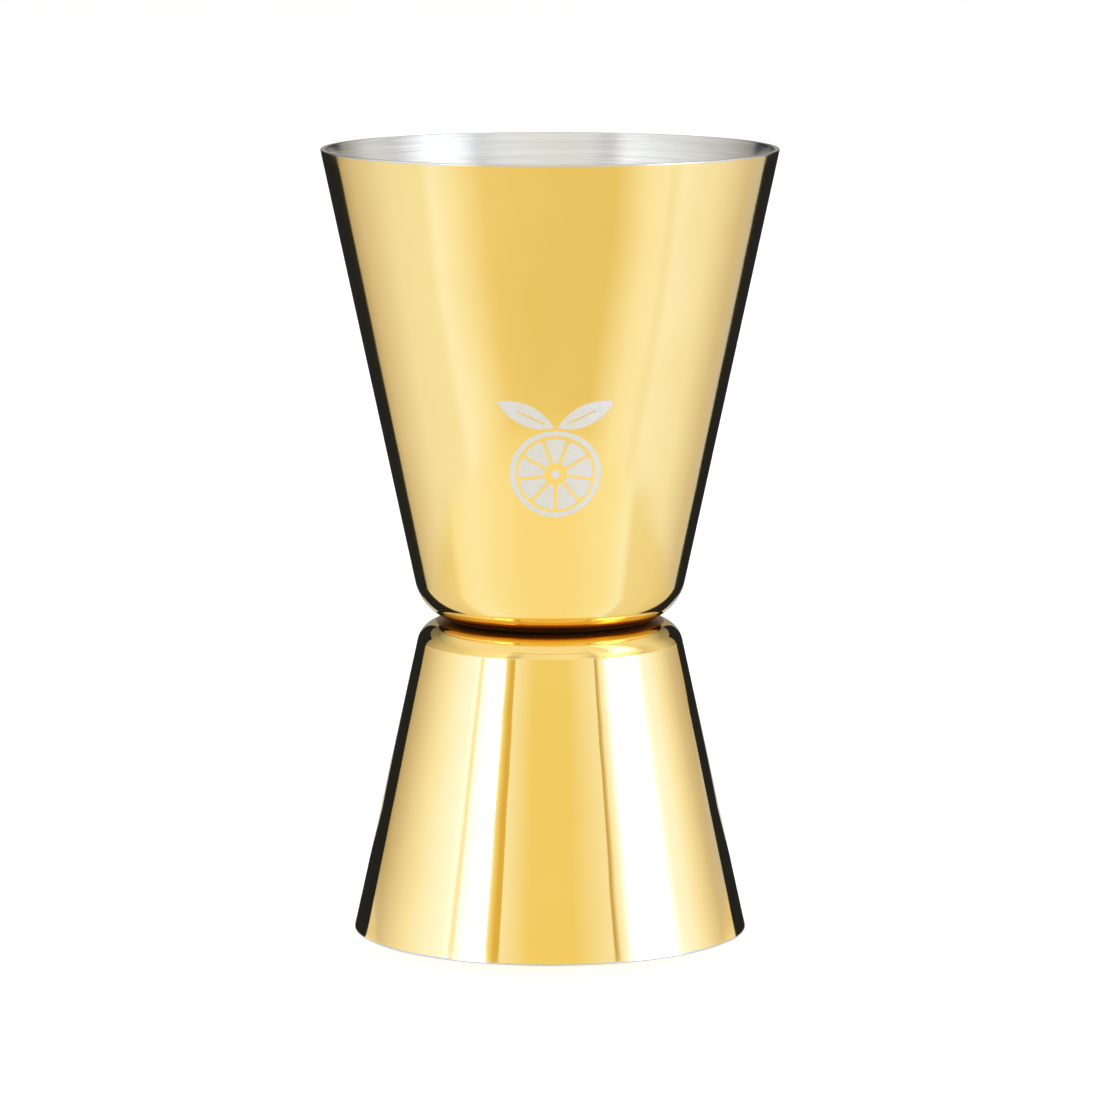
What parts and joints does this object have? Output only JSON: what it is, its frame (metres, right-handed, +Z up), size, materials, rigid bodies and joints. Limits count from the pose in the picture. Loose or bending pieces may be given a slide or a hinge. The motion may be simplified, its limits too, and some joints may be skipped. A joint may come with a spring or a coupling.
{
  "type": "bar jigger",
  "caption": "Double-ended bar measure: a large and a small conical steel cup joined base to base, gold outside, brushed steel inside.",
  "frame": {"origin": "centre of the small cup's rim, in the plane that the jigger stands on", "axes": "+Z up along the shared axis of both cups, towards the large cup's rim; the emblem faces -Y"},
  "size_m": [0.0472, 0.0472, 0.0812],
  "materials": {
    "brushed_steel": "stainless steel with fine brush lines that run round the cup",
    "gold_satin": "gold plating over finely finished steel, a slightly soft shine",
    "gold_mirror": "gold plating over polished steel, mirror bright",
    "weld_metal": "fused steel, matt grey",
    "etched_mark": "frosted bare steel where the plating is etched away"
  },
  "bodies": {
    "root": {"large_cup": "brushed_steel", "small_cup": "brushed_steel", "large_cup_plating": "gold_satin", "small_cup_plating": "gold_mirror", "spot_welds": "weld_metal", "emblem": "etched_mark"}
  },
  "joints": []
}
